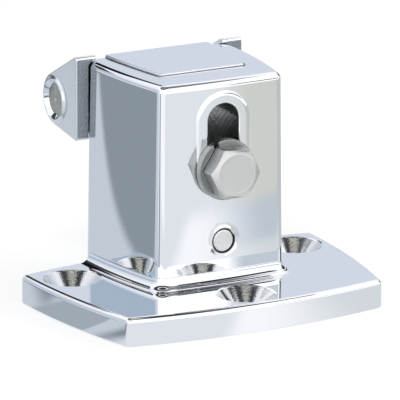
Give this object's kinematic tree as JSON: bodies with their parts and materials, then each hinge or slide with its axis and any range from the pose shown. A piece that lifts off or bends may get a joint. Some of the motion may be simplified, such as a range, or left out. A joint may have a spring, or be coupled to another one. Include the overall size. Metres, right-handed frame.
{
  "type": "cooler door latch strike",
  "caption": "Adjustable strike for a cooler door latch: a flanged housing holds a sliding carrier with a roller, clamped at its height by a hex bolt.",
  "frame": {"origin": "on the mounting plane, the underside of the flange, midway between the two side screw holes", "axes": "+Z stands out from the mounting plane along the column; -Y faces the clamp bolt's head, +Y the roller; +X runs along the roller pin, to the right when the bolt's head is seen from the front"},
  "size_m": [0.0894, 0.0778, 0.0639],
  "materials": {
    "plated_casting": "bright plated casting, mirror polished",
    "satin_casting": "plated casting, satin on the ears",
    "roller_steel": "turned steel",
    "pin_steel": "turned end faces, plated over",
    "bolt_steel": "satin zinc plated steel"
  },
  "bodies": {
    "housing": {"body": "plated_casting", "stop_pin": "pin_steel"},
    "carrier": {"slide": "satin_casting", "roller_pin": "pin_steel"},
    "roller": {"roller": "roller_steel"},
    "washer": {"lock_washer": "bolt_steel"},
    "bolt": {"clamp_bolt": "bolt_steel"}
  },
  "joints": [
    {"name": "height_adjustment", "type": "slide", "parent": "housing", "child": "carrier", "axis": [0, 0, 1], "range_m": [0, 0.013]},
    {"name": "roller_turn", "type": "hinge", "parent": "carrier", "child": "roller", "pos_m": [0, 0.02676, 0.0497], "axis": [1, 0, 0], "continuous": true},
    {"name": "bolt_back_off", "type": "slide", "parent": "carrier", "child": "washer", "axis": [0, -1, 0], "range_m": [0, 0.0025]},
    {"name": "bolt_turn", "type": "hinge", "parent": "washer", "child": "bolt", "pos_m": [0, -0.0235, 0.0389], "axis": [0, -1, 0], "range_deg": [0, 730]}
  ],
  "couplings": [
    {"joint": "bolt_turn", "follows": "bolt_back_off", "rad_per_m": 5026.5}
  ]
}
